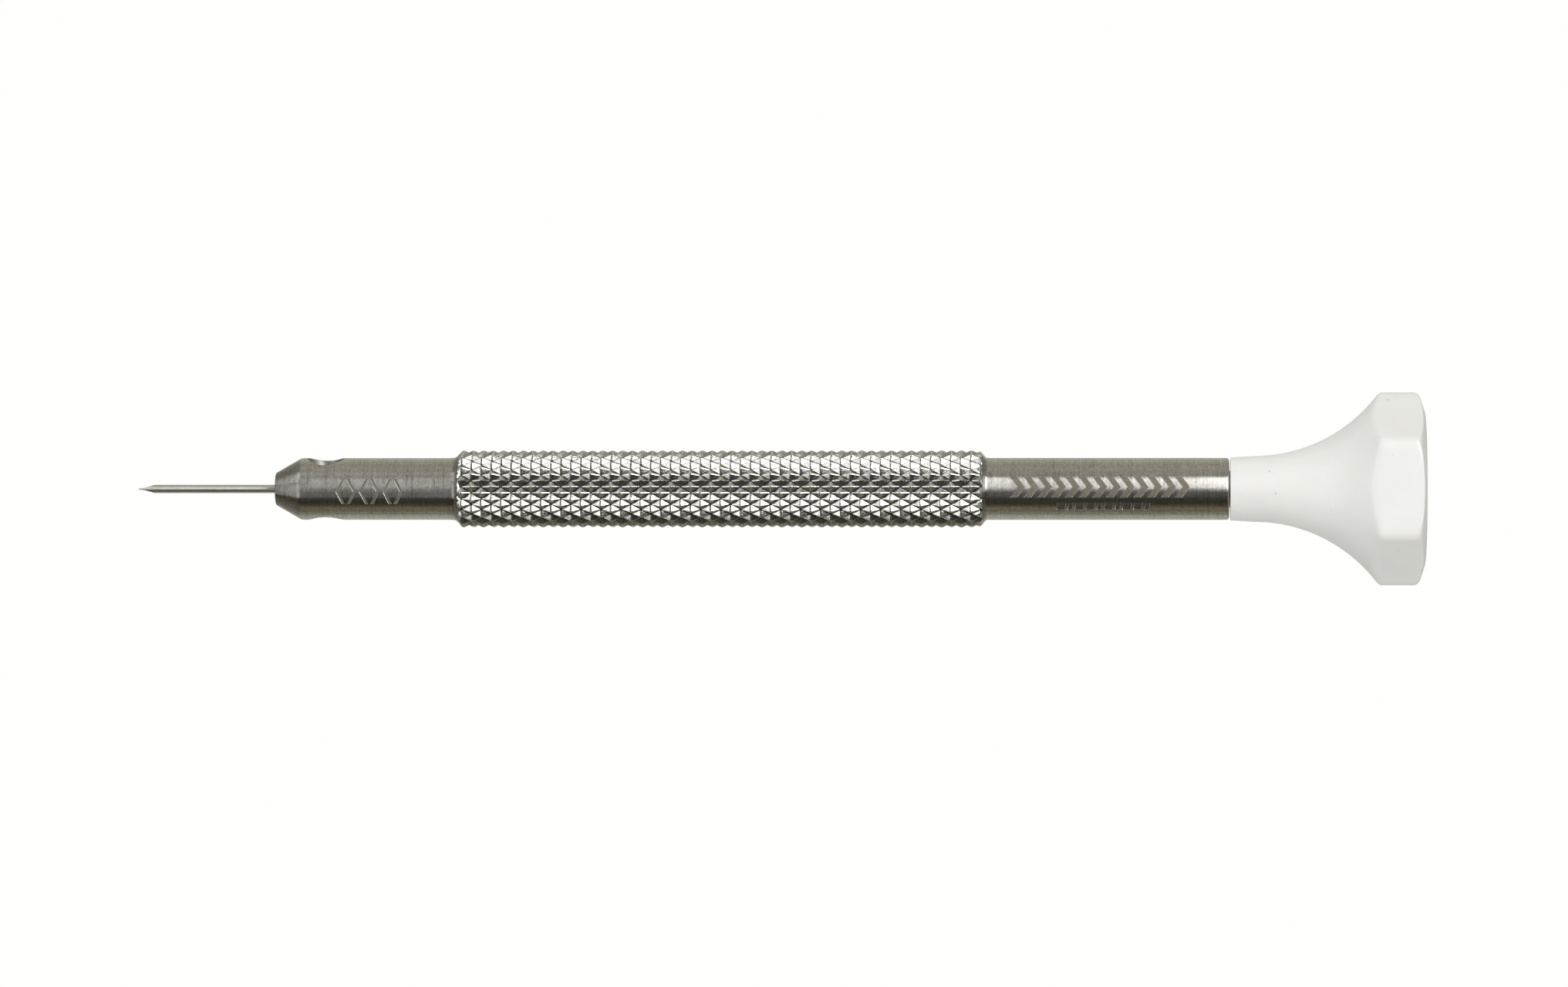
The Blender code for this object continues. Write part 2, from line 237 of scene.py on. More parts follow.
def mark_sharp(mesh, sharp, between_same=None):
    """Marks sharp edges by their angle, and by another angle inside the material of one index."""
    bm = bmesh.new()
    bm.from_mesh(mesh)
    for edge in bm.edges:
        if len(edge.link_faces) == 2:
            first, second = edge.link_faces
            limit = sharp
            if between_same and first.material_index == second.material_index == between_same[0]:
                limit = between_same[1]
            edge.smooth = edge.calc_face_angle() < radians(limit)
    bm.to_mesh(mesh)
    bm.free()


def add_piece(piece, body, slot, *replaced, sharp=30, between_same=None):
    """Scales a piece to metres, shades it, and hands it to the frame."""
    mesh = piece.data
    mesh.shade_smooth()
    mark_sharp(mesh, sharp, between_same)
    mesh.transform(Matrix.Scale(MM, 4))
    weighted = piece.modifiers.new("even_normals", "WEIGHTED_NORMAL")
    weighted.keep_sharp = True
    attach(piece, body)
    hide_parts(*replaced)


# ---------------------------------------------------------------- materials


class Shader:
    """A Principled material and short ways to add nodes to it."""

    def __init__(self, name, **sockets):
        self.material = bpy.data.materials.new(name)
        self.material.use_nodes = True
        self.tree = self.material.node_tree
        self.bsdf = self.tree.nodes["Principled BSDF"]
        for socket, value in sockets.items():
            self.bsdf.inputs[socket.replace("_", " ")].default_value = value

    def node(self, kind, inputs=(), **settings):
        node = self.tree.nodes.new(kind)
        for key, value in settings.items():
            setattr(node, key, value)
        for key, value in dict(inputs).items():
            if isinstance(value, bpy.types.NodeSocket):
                self.tree.links.new(value, node.inputs[key])
            else:
                node.inputs[key].default_value = value
        return node

    def to(self, socket, output):
        self.tree.links.new(output, self.bsdf.inputs[socket])

    def stretched(self, x, y, z):
        """Object coordinates in millimetres, times a scale along each axis."""
        place = self.node("ShaderNodeTexCoord").outputs["Object"]
        scale = Vector((x, y, z)) / MM
        mapping = self.node("ShaderNodeMapping", {"Vector": place, "Scale": scale})
        return mapping.outputs["Vector"]

    def noise(self, vector, detail=2.0, roughness=0.5):
        inputs = {"Vector": vector, "Scale": 1.0, "Detail": detail, "Roughness": roughness}
        return self.node("ShaderNodeTexNoise", inputs).outputs["Fac"]

    def remap(self, value, from_min, from_max, to_min, to_max):
        inputs = {
            "Value": value,
            "From Min": from_min,
            "From Max": from_max,
            "To Min": to_min,
            "To Max": to_max,
        }
        return self.node("ShaderNodeMapRange", inputs).outputs["Result"]

    def ramp(self, value, stops):
        node = self.node("ShaderNodeValToRGB", {"Fac": value})
        elements = node.color_ramp.elements
        while len(elements) < len(stops):
            elements.new(0.5)
        for element, (position, colour) in zip(elements, stops):
            element.position = position
            element.color = (*colour, 1.0)
        return node.outputs["Color"]

    def math(self, operation, first, second):
        return self.node("ShaderNodeMath", {0: first, 1: second}, operation=operation).outputs[0]

    def bump(self, height, depth_mm, normal=None):
        inputs = {"Height": height, "Distance": depth_mm * MM, "Strength": 1.0}
        if normal:
            inputs["Normal"] = normal
        return self.node("ShaderNodeBump", inputs).outputs["Normal"]


def shade(colour, factor):
    """A colour made darker or lighter."""
    return tuple(channel * factor for channel in colour)


def turned_steel(name, colour, roughness, anisotropy, groove_depth, grain=1.0, contrast=1.0):
    """Steel with fine turning marks round the X axis and a slight grain."""
    steel = Shader(name, Metallic=1.0, Roughness=roughness, Anisotropic=anisotropy)
    steel.bsdf.inputs["Anisotropic Rotation"].default_value = 0.25
    tangent = steel.node("ShaderNodeTangent", direction_type="RADIAL", axis="X")
    steel.to("Tangent", tangent.outputs["Tangent"])
    # Fine along the axis and long round it
    grooves = steel.noise(steel.stretched(11, 0.35, 0.35), 3.0, 0.65)
    speckle = steel.noise(steel.stretched(7.5, 5, 5), 2.5, 0.65)
    stain = steel.noise(steel.stretched(0.45, 0.9, 0.9), 3.0, 0.55)
    mix = steel.math("MULTIPLY", speckle, 1.3 * grain)
    blend = steel.math("ADD", grooves, mix)
    middle = 0.5 + 0.65 * grain
    tone = steel.remap(blend, middle - 0.40, middle + 0.40, 0.0, 1.0)
    dark, light = shade(colour, 1 - 0.38 * contrast), shade(colour, 1 + 0.30 * contrast)
    base = steel.ramp(tone, [(0.0, dark), (0.5, colour), (1.0, light)])
    tint = steel.node("ShaderNodeMix", data_type="RGBA", blend_type="MULTIPLY")
    tint.inputs["Factor"].default_value = 0.6
    steel.tree.links.new(base, tint.inputs["A"])
    warm = steel.ramp(stain, [(0.3, (0.88, 0.86, 0.80)), (0.7, (1.0, 1.0, 1.0))])
    steel.tree.links.new(warm, tint.inputs["B"])
    steel.to("Base Color", tint.outputs["Result"])
    low, high = roughness - 0.03, roughness + 0.04
    steel.to("Roughness", steel.remap(grooves, 0.3, 0.7, low, high))
    steel.to("Normal", steel.bump(grooves, groove_depth))
    return steel.material


# How far above the roots of the knurl's grooves their painted shade reaches, a dark colour standing
# in for the shade that falls deep in the grooves
ROOT_SHADE_HEIGHT = 0.045


def cut_steel(name, colour, roughness, root=None):
    """Bright steel as a knurling wheel leaves it, with small tears, and with painted shade
    darkening the grooves near their roots when a root radius is given.
    """
    steel = Shader(name, Metallic=1.0, Roughness=roughness)
    tears = steel.noise(steel.stretched(6, 10, 10), 3.0, 0.6)
    fine = steel.noise(steel.stretched(16, 16, 16), 2.0, 0.6)
    stops = [(0.25, shade(colour, 0.55)), (0.5, colour), (0.8, shade(colour, 1.15))]
    base = steel.ramp(tears, stops)
    # Painted shade: the colour darkens towards the roots of the grooves, where shade falls between
    # the teeth.
    if root:
        place = steel.stretched(0, 1, 1)
        radius = steel.node("ShaderNodeVectorMath", {0: place}, operation="LENGTH").outputs["Value"]
        root_shade_mask = steel.remap(radius, root, root + ROOT_SHADE_HEIGHT, 0.0, 1.0)
        dark = steel.ramp(root_shade_mask, [(0.0, (0.10, 0.095, 0.08)), (1.0, (1.0, 1.0, 1.0))])
        tint = steel.node("ShaderNodeMix", data_type="RGBA", blend_type="MULTIPLY")
        tint.inputs["Factor"].default_value = 1.0
        steel.tree.links.new(base, tint.inputs["A"])
        steel.tree.links.new(dark, tint.inputs["B"])
        base = tint.outputs["Result"]
    steel.to("Base Color", base)
    steel.to("Roughness", steel.remap(fine, 0.3, 0.7, roughness - 0.05, roughness + 0.10))
    steel.to("Normal", steel.bump(fine, 0.0015, steel.bump(tears, 0.009)))
    return steel.material


def etched_steel(name, colour):
    """The matte floor of an etched mark."""
    steel = Shader(name, Metallic=0.35, Roughness=0.62)
    grain = steel.noise(steel.stretched(13, 13, 13), 3.0, 0.6)
    patches = steel.noise(steel.stretched(1.6, 2.2, 2.2), 2.0, 0.5)
    both = steel.math("ADD", grain, steel.math("MULTIPLY", patches, 0.6))
    stops = [(0.0, shade(colour, 0.72)), (1.0, shade(colour, 1.25))]
    steel.to("Base Color", steel.ramp(steel.remap(both, 0.55, 1.05, 0.0, 1.0), stops))
    steel.to("Roughness", steel.remap(grain, 0.3, 0.7, 0.50, 0.72))
    steel.to("Normal", steel.bump(grain, 0.006))
    return steel.material


def moulded_plastic(name, colour):
    """Slightly warm white plastic with a faint orange-peel skin and a few dark specks."""
    plastic = Shader(name, Metallic=0.0, Roughness=0.36, IOR=1.49)
    plastic.bsdf.inputs["Subsurface Weight"].default_value = 0.08
    plastic.bsdf.inputs["Subsurface Scale"].default_value = 0.6 * MM
    skin = plastic.noise(plastic.stretched(2.6, 2.6, 2.6), 3.0, 0.55)
    cloud = plastic.noise(plastic.stretched(0.35, 0.35, 0.35), 3.0, 0.5)
    stops = [(0.3, shade(colour, 0.965)), (0.7, colour)]
    base = plastic.ramp(cloud, stops)
    cells = plastic.node(
        "ShaderNodeTexVoronoi",
        {"Vector": plastic.stretched(0.95, 0.95, 0.95), "Scale": 1.0, "Randomness": 1.0},
    )
    # Only some cells have a speck, with a radius of up to 0.14 mm.
    size = plastic.noise(plastic.stretched(0.6, 0.6, 0.6), 1.0, 0.5)
    reach = plastic.remap(size, 0.44, 0.70, 0.0, 0.13)
    speck = plastic.math("LESS_THAN", cells.outputs["Distance"], reach)
    mix = plastic.node("ShaderNodeMix", data_type="RGBA")
    plastic.tree.links.new(plastic.math("MULTIPLY", speck, 0.45), mix.inputs["Factor"])
    plastic.tree.links.new(base, mix.inputs["A"])
    mix.inputs["B"].default_value = (0.42, 0.41, 0.38, 1.0)
    plastic.to("Base Color", mix.outputs["Result"])
    plastic.to("Roughness", plastic.remap(skin, 0.3, 0.7, 0.32, 0.42))
    plastic.to("Normal", plastic.bump(skin, 0.006))
    return plastic.material


STEEL = (0.50, 0.485, 0.455)
HANDLE_STEEL = turned_steel("handle_steel_turned", STEEL, 0.30, 0.9, 0.0003)
KNURL_ROOT = KNURL_RADIUS - KNURL_DEPTH * (1 - RIDGE_WIDTH)
# The knurled steel has painted shade near its grooves' roots.
KNURL_STEEL = cut_steel("handle_steel_knurled", (0.74, 0.73, 0.70), 0.16, KNURL_ROOT)
ETCHED_STEEL = etched_steel("handle_steel_etched", (0.165, 0.15, 0.115))
DARK_ETCH = etched_steel("handle_steel_etched_dark", (0.06, 0.055, 0.042))
# Painted highlight: the walls round the etched marks are a pale steel colour standing in for light
# caught on their edges.
RIM_HIGHLIGHT_STEEL = cut_steel("handle_steel_etch_rim_highlight", (0.85, 0.83, 0.77), 0.45)
COUNTERSINK_STEEL = cut_steel("handle_steel_countersunk", (0.38, 0.37, 0.34), 0.48)
BLADE_STEEL = turned_steel("blade_steel_ground", (0.80, 0.79, 0.765), 0.37, 0.9, 0.0, 0.3, 0.25)
SCREW_STEEL = turned_steel("screw_steel_turned", (0.42, 0.41, 0.38), 0.30, 0.4, 0.0012)
SPINDLE_STEEL = turned_steel("spindle_steel_ground", (0.56, 0.55, 0.53), 0.20, 0.4, 0.0006, 0.5)
BEARING_STEEL = turned_steel("bearing_steel_polished", (0.66, 0.65, 0.63), 0.12, 0.2, 0.0003, 0.3)
SHIELD_STEEL = turned_steel("shield_steel_rolled", (0.58, 0.57, 0.55), 0.26, 0.3, 0.0006, 0.6)
CLIP_STEEL = turned_steel("clip_steel_spring", (0.33, 0.32, 0.30), 0.36, 0.2, 0.0008)
CAGE_BRASS = turned_steel("cage_brass_turned", (0.72, 0.50, 0.20), 0.28, 0.4, 0.0010)
WHITE_PLASTIC = moulded_plastic("white_plastic_moulded", (0.84, 0.84, 0.815))
CAP_PLASTIC = moulded_plastic("cap_plastic_moulded", (0.83, 0.83, 0.80))


# ---------------------------------------------------------------- handle

# Where mesh lines cross a cell of the knurl, two of them close beside the ridges of its teeth
CELL_LINES = (0.0, RIDGE_WIDTH, 0.5, 1 - RIDGE_WIDTH)


def shoulder(distance, softness):
    """The radius a knurl's chamfer allows, with a soft corner between it and the plain part."""
    slope = (KNURL_RADIUS - PLAIN_RADIUS) / KNURL_CHAMFER
    return PLAIN_RADIUS + slope * (distance + hypot(distance, softness)) / 2


def ridge(distance):
    """How far a tooth has dropped at a distance from its ridge, which is slightly rounded."""
    return distance / 2 if distance < RIDGE_WIDTH else distance - RIDGE_WIDTH / 2


def knurl_radius(x, angle):
    """Diamond teeth: four flat faces each, cut by two families of grooves, and chamfered ends."""
    along = (x - KNURL_FROM - KNURL_PHASE) / KNURL_STEP
    round_ = (angle - KNURL_TURN) / (2 * pi / KNURL_ROWS)
    i, j = floor(along), floor(round_)
    s, t = along - i, round_ - j
    if (i + j) % 2:
        t = 1 - t
    # Down both sides of the nearer tooth, whose ridges run along and across the handle
    if s + t > 1:
        s, t = 1 - s, 1 - t
    teeth = KNURL_RADIUS - KNURL_DEPTH * (ridge(s) + ridge(t))
    front = shoulder(x - KNURL_FROM, KNURL_FRONT_SOFTNESS)
    rear = shoulder(KNURL_TO - x, KNURL_REAR_SOFTNESS)
    return min(teeth, front, rear)


def knurl_stations():
    """Where the knurl's rings are: on the teeth's grid, and closer in the chamfers."""
    start = KNURL_FROM + KNURL_PHASE
    cells = range(-3, int((KNURL_TO - start) / KNURL_STEP) + 3)
    lines = [start + KNURL_STEP * (i + line) for i in cells for line in CELL_LINES]
    stations = []
    for x, after in zip(lines, lines[1:]):
        near_end = x < KNURL_FROM + KNURL_END_ZONE or x > KNURL_TO - KNURL_END_ZONE
        pieces = round((after - x) / KNURL_END_STEP) if near_end else 1
        stations += [x + (after - x) * i / pieces for i in range(pieces)]
    return [x for x in stations if KNURL_FROM - KNURL_BEFORE < x < KNURL_TO + KNURL_AFTER]


# The handle's materials, by their index
PLAIN, KNURLED, ETCHED, RIM, DARK, COUNTERSUNK = range(6)
# A face of the knurl is split when its two diagonals differ by more than this from the true shape.
FLAT_ENOUGH = 0.002
# How far below the grooves' roots a face is plain steel
ROOT_MARGIN = 0.01
# Ridges between tooth faces are sharp from this many degrees.
TOOTH_SHARP = 8


def tooth_faces(bm, first, second, xs, angles):
    """Faces between two knurl rings, each split along the diagonal that follows the teeth."""
    middle_x = (xs[0] + xs[1]) / 2
    count = len(first)
    for i in range(count):
        j = (i + 1) % count
        after = angles[j] if j else angles[0] + 2 * pi
        middle = (angles[i] + after) / 2
        true = knurl_radius(middle_x, middle)
        radii = [hypot(v.co.y, v.co.z) for v in (first[i], second[i], second[j], first[j])]
        one = abs((radii[0] + radii[2]) / 2 - true)
        other = abs((radii[1] + radii[3]) / 2 - true)
        corners = (first[i], second[i], second[j], first[j])
        if max(one, other) < FLAT_ENOUGH:
            groups = [corners]
        elif one < other:
            groups = [corners[:3], (corners[0], corners[2], corners[3])]
        else:
            groups = [(corners[0], corners[1], corners[3]), corners[1:]]
        material = KNURLED if true > KNURL_ROOT - ROOT_MARGIN else PLAIN
        for group in groups:
            bm.faces.new(group).material_index = material


def handle_blank():
    """The turned handle: bores, nose, plain parts and the knurl, all one closed skin."""
    cone_length = (PLAIN_RADIUS - NOSE_RADIUS) / tan(CONE_HALF_ANGLE)
    bore_tip = SPINDLE_BORE_FROM - SPINDLE_BORE_RADIUS * tan(CONE_HALF_ANGLE)
    front = [
        (BLADE_BORE_END + BLADE_BORE_RADIUS * tan(CONE_HALF_ANGLE), 0, 0),
        (BLADE_BORE_END, BLADE_BORE_RADIUS, 0),
        (NOSE_X, BLADE_BORE_RADIUS, NOSE_BORE_EDGE),
        (NOSE_X, NOSE_RADIUS, NOSE_EDGE),
        (NOSE_X + cone_length, PLAIN_RADIUS, CONE_EDGE),
        (CLAMP_X, PLAIN_RADIUS, 0),
        (KNURL_FROM - PLAIN_FRONT_GAP, PLAIN_RADIUS, 0),
    ]
    rear = [
        (KNURL_TO + PLAIN_REAR_GAP, PLAIN_RADIUS, 0),
        (PLAIN_REAR_RING, PLAIN_RADIUS, 0),
        (HANDLE_END - HANDLE_CHAMFER, PLAIN_RADIUS, HANDLE_END_EDGE),
        (HANDLE_END, PLAIN_RADIUS - HANDLE_CHAMFER, HANDLE_END_CORNER),
        (HANDLE_END, SPINDLE_BORE_RADIUS, HANDLE_END_EDGE),
        (SPINDLE_BORE_FROM, SPINDLE_BORE_RADIUS, 0),
        (bore_tip, 0, 0),
    ]
    bm = bmesh.new()
    cell = 2 * pi / KNURL_ROWS
    rows = [row + line for row in range(KNURL_ROWS) for line in CELL_LINES]
    angles = sorted((KNURL_TURN + cell * row) % (2 * pi) for row in rows)

    def ring(x, radius_at):
        radii = [radius_at(a) for a in angles]
        return [bm.verts.new((x, r * cos(a), r * sin(a))) for r, a in zip(radii, angles)]

    def turned(points):
        return [
            ring(x, lambda a, r=r: r) if r > 0 else [bm.verts.new((x, 0, 0))] for x, r in points
        ]

    stations = knurl_stations()
    before = turned(rounded(front))
    knurled = [ring(x, lambda a, x=x: knurl_radius(x, a)) for x in stations]
    after = turned(rounded(rear))
    skin(bm, before + knurled[:1])
    for k in range(len(stations) - 1):
        tooth_faces(bm, knurled[k], knurled[k + 1], stations[k : k + 2], angles)
    skin(bm, knurled[-1:] + after)
    return bm


def clamp_cutter():
    """The screw hole and its two countersinks."""
    slope = tan(COUNTERSINK_HALF_ANGLE)
    throat = PLAIN_RADIUS - (COUNTERSINK_RADIUS - SCREW_HOLE_RADIUS) / slope
    # The cones go on past the surface, to 1 mm outside it.
    outside = PLAIN_RADIUS + 1
    mouth = COUNTERSINK_RADIUS + slope
    half = [(throat, SCREW_HOLE_RADIUS), (outside, mouth), (outside, 0)]
    bm = lathe([(-x, r) for x, r in reversed(half)] + half, HOLE_SEGMENTS)
    for face in bm.faces:
        face.material_index = COUNTERSUNK
    bm.transform(clamp_frame())
    return bm


def clamp_frame():
    """The screws' frame: X out along the upper screw, from the middle of the handle."""
    turn = Matrix.Rotation(pi / 2, 4, "Z") @ Matrix.Rotation(-CLAMP_TILT, 4, "Y")
    return Matrix.Translation((CLAMP_X, 0, 0)) @ turn


ETCH_DEPTH = 0.022
ETCH_RIM = 0.03
# A cutter's walls lean out to just above the surface, and then rise clear of it.
ETCH_LIP, ETCH_TOP = 0.002, 0.2
ETCH_STEP = 0.12

# Marks: where they are along the handle, and their edges by their distance round it from the top.
# Open diamonds, in pairs of thin angle strokes
DIAMONDS, DIAMOND_X, DIAMOND_PITCH = 3, 14.80, 1.65
DIAMOND_TOP, DIAMOND_BOTTOM = 0.72, -1.10
DIAMOND_NEAR, DIAMOND_FAR, DIAMOND_STROKE = 0.10, 0.52, 0.16
# Chevrons that point to the head
CHEVRONS, CHEVRON_X, CHEVRON_PITCH = 13, 61.33, 0.957
CHEVRON_TOP, CHEVRON_BOTTOM = 0.86, -0.60
CHEVRON_STROKE, CHEVRON_LEAN = 0.46, 0.52
# Leaning dashes of two lengths
LONG, SHORT = 0.55, 0.28
DASHES = (LONG, SHORT, LONG, LONG, SHORT, LONG, SHORT, LONG, LONG, SHORT)
DASH_X, DASH_GAP, DASH_LEAN = 64.55, 0.22, 0.10
DASH_TOP, DASH_BOTTOM = -0.98, -1.58


def etched_strip(bm, rows, floor_material=ETCHED):
    """A cutter for one etched stroke, from rows of (distance round, left x, right x)."""
    dense = [rows[0]]
    for a, b in zip(rows, rows[1:]):
        steps = max(1, round(abs(b[0] - a[0]) / ETCH_STEP))
        for i in range(1, steps + 1):
            dense.append(tuple(p + (q - p) * i / steps for p, q in zip(a, b)))
    rings = []
    for distance, left, right in dense:
        angle = distance / PLAIN_RADIUS
        section = [
            (left, -ETCH_DEPTH),
            (right, -ETCH_DEPTH),
            (right + ETCH_RIM, ETCH_LIP),
            (right + ETCH_RIM, ETCH_TOP),
            (left - ETCH_RIM, ETCH_TOP),
            (left - ETCH_RIM, ETCH_LIP),
        ]
        ring = []
        for x, height in section:
            radius = PLAIN_RADIUS + height
            ring.append(bm.verts.new((x, radius * sin(angle), radius * cos(angle))))
        rings.append(ring)
    for first, second in zip(rings, rings[1:]):
        for i in range(len(first)):
            j = (i + 1) % len(first)
            face = bm.faces.new((first[i], second[i], second[j], first[j]))
            # The walls and ends take the rim material, whose pale colour is a painted highlight.
            face.material_index = floor_material if i == 0 else RIM
    for end in (rings[0], rings[-1]):
        bm.faces.new(end).material_index = RIM


def etched_marks():
    """Plain marks in place of lettering: open diamonds, a row of chevrons and a line of dashes."""
    bm = bmesh.new()
    middle = (DIAMOND_TOP + DIAMOND_BOTTOM) / 2
    for k in range(DIAMONDS):
        centre = DIAMOND_X + DIAMOND_PITCH * k
        for side in (-1, 1):
            near, far = centre + side * DIAMOND_NEAR, centre + side * DIAMOND_FAR
            ends = sorted((near, near + side * DIAMOND_STROKE))
            point = sorted((far, far + side * DIAMOND_STROKE))
            etched_strip(bm, [(DIAMOND_TOP, *ends), (middle, *point), (DIAMOND_BOTTOM, *ends)])
    middle = (CHEVRON_TOP + CHEVRON_BOTTOM) / 2
    for k in range(CHEVRONS):
        x = CHEVRON_X + CHEVRON_PITCH * k
        ends = (x, x + CHEVRON_STROKE)
        point = (x + CHEVRON_LEAN, x + CHEVRON_LEAN + CHEVRON_STROKE)
        etched_strip(bm, [(CHEVRON_TOP, *ends), (middle, *point), (CHEVRON_BOTTOM, *ends)])
    x = DASH_X
    for length in DASHES:
        rows = [(DASH_TOP, x + DASH_LEAN, x + length + DASH_LEAN), (DASH_BOTTOM, x, x + length)]
        etched_strip(bm, rows, floor_material=DARK)
        x += length + DASH_GAP
    return bm


def make_handle():
    """The turned handle with its screw holes and etched marks."""
    # In the order of their indices, from PLAIN to COUNTERSUNK
    materials = (
        HANDLE_STEEL,
        KNURL_STEEL,
        ETCHED_STEEL,
        RIM_HIGHLIGHT_STEEL,
        DARK_ETCH,
        COUNTERSINK_STEEL,
    )
    handle = mesh_object("knurled_handle", handle_blank(), materials)
    cut(handle, clamp_cutter(), materials)
    cut(handle, etched_marks(), materials)
    ridges = (KNURLED, TOOTH_SHARP)
    add_piece(handle, "handle", "handle_steel", "handle_body", between_same=ridges)


# ---------------------------------------------------------------- blade and clamp screws


def make_blade():
    """Round wire, with two faces hollow-ground by a wheel."""
    profile = rounded(
        [
            (BLADE_TIP, 0, 0),
            (BLADE_TIP, BLADE_RADIUS, 0),
            (BLADE_END, BLADE_RADIUS, BLADE_END_EDGE),
            (BLADE_END, 0, 0),
        ]
    )
    after_taper = [TIP_TAPER + TAPER_RING_STEP * i for i in range(1, TAPER_RINGS + 1)]
    profile = profile[:2] + [(x, BLADE_RADIUS) for x in after_taper] + profile[2:]
    blade = mesh_object("wire_blade", lathe(profile, BLADE_SEGMENTS), (BLADE_STEEL,))
    near = Vector((BLADE_TIP, TIP_THICKNESS / 2, 0))
    far = Vector((TIP_TAPER, BLADE_RADIUS, 0))
    chord = far - near
    outward = Vector((-chord.y, chord.x, 0)).normalized()
    away = sqrt(WHEEL_RADIUS**2 - (chord.length / 2) ** 2)
    centre = (near + far) / 2 + outward * away
    for side in (1, -1):
        wheel = bmesh.new()
        bmesh.ops.create_cone(
            wheel,
            cap_ends=True,
            segments=WHEEL_SEGMENTS,
            radius1=WHEEL_RADIUS,
            radius2=WHEEL_RADIUS,
            depth=4 * BLADE_RADIUS,
            matrix=Matrix.Translation((centre.x, side * centre.y, 0)),
        )
        cut(blade, wheel, (BLADE_STEEL,))
    add_piece(blade, "blade", "blade_steel", "blade", sharp=12)


def screw_shape(x, radius, angle):
    """A thread cut into the screw's straight part."""
    start, end = SCREW_FROM + SCREW_POINT_LENGTH + THREAD_GAP, SCREW_TO - SCREW_CHAMFER
    if radius < SCREW_RADIUS or not start < x < end:
        return radius
    phase = (x / SCREW_PITCH - angle / (2 * pi)) % 1
    height = min(1.0, abs(2 * phase - 1) * THREAD_CREST)
    fade = min(1.0, (x - start) / THREAD_FADE, (end - x) / THREAD_FADE)
    return radius - (SCREW_RADIUS - SCREW_ROOT) * (1 - height) * fade


def make_clamp_screws():
    """Two slotted grub screws with their threads, pointing at the blade from opposite sides."""
    point, chamfer = SCREW_FROM + SCREW_POINT_LENGTH, SCREW_TO - SCREW_CHAMFER
    rings = [point + SCREW_RING_STEP * i for i in range(1, SCREW_RINGS + 1)]
    profile = [
        (SCREW_FROM, 0),
        (SCREW_FROM, SCREW_POINT_RADIUS),
        (point, SCREW_RADIUS),
        *[(x, SCREW_RADIUS) for x in rings],
        (chamfer, SCREW_RADIUS),
        (SCREW_TO, SCREW_RADIUS - SCREW_CHAMFER),
        (SCREW_TO, 0),
    ]
    for name, facing in (("upper", 0.0), ("lower", pi)):
        body = f"clamp_screw_{name}"
        bm = lathe(profile, SCREW_SEGMENTS, shape=screw_shape)
        screw = mesh_object(f"grub_screw_{name}", bm, (SCREW_STEEL,))
        slot = bmesh.new()
        size = Vector((2 * SCREW_SLOT_DEPTH, SCREW_SLOT_WIDTH, 4 * SCREW_RADIUS))
        turn = Matrix.Rotation(SCREW_SLOT_TURNS[name], 4, "X")
        place = Matrix.Translation((SCREW_TO, 0, 0)) @ turn @ Matrix.Diagonal(size).to_4x4()
        bmesh.ops.create_cube(slot, size=1, matrix=place)
        cut(screw, slot, (SCREW_STEEL,))
        screw.data.transform(clamp_frame() @ Matrix.Rotation(facing, 4, "Z"))
        add_piece(screw, body, "screw_steel", body)


# ---------------------------------------------------------------- head

# How wide the soft edges are between the hexagon and the turned surfaces
FACET_SOFTNESS, END_SOFTNESS = 0.30, 0.14
# From the head's middle to the centre of a rounded corner, and how far the corner passes a flat
HEX_CORNER_CENTRE = (HEX_HALF_FLATS - HEX_CORNER_RADIUS) / cos(pi / 6)
HEX_CORNER_RISE = HEX_CORNER_CENTRE + HEX_CORNER_RADIUS - HEX_HALF_FLATS
HEAD_EDGE, BORE_EDGE = 0.07, 0.04
CAP_SEAT_EDGE = 0.05
FLARE_STEPS, FLAT_STEPS = 44, 14
END_RINGS, END_RING_STEP = 18, 0.085
END_CORNER = 0.25
DISH_STEPS = 14
CAP_EDGE, DISH_EDGE = 0.09, 0.16


def hexagon_radius(angle):
    """How far the rounded hexagon reaches at an angle from one of its corners."""
    corner = abs((angle + pi / 6) % (pi / 3) - pi / 6)
    centre = HEX_CORNER_CENTRE
    turn = atan2(HEX_CORNER_RADIUS / 2, centre + HEX_CORNER_RADIUS * cos(pi / 6))
    if corner > turn:
        return HEX_HALF_FLATS / cos(pi / 6 - corner)
    across = centre * sin(corner)
    return centre * cos(corner) + sqrt(HEX_CORNER_RADIUS**2 - across**2)


def end_drop(radius):
    """How far the turned end is from the head's end face, a shallow cone with a rounded rim."""
    return END_SLOPE * (radius - END_RADIUS) + END_ROUNDING * max(0, radius - END_ROUND_FROM) ** 2


END_FROM = HEAD_END - end_drop(RIM_RADIUS)


def head_shape(x, radius, angle):
    """The smaller of the turned radius and the hexagon, with a soft edge between them.

    The flare turns slightly hexagonal before it meets the flats.
    """
    if radius <= CAP_RADIUS + CAP_GAP:
        return radius
    limit = hexagon_radius(angle)
    if x < END_FROM:
        grown = max(0, radius - FLARE_DIP_FROM) / (RIM_RADIUS - FLARE_DIP_FROM)
        radius -= FLARE_DIP * grown**2 * (1 - (limit - HEX_HALF_FLATS) / HEX_CORNER_RISE)
    softness = FACET_SOFTNESS if x < END_FROM else END_SOFTNESS
    near = max(softness - abs(radius - limit), 0) / softness
    return min(radius, limit) - near * near * softness / 4


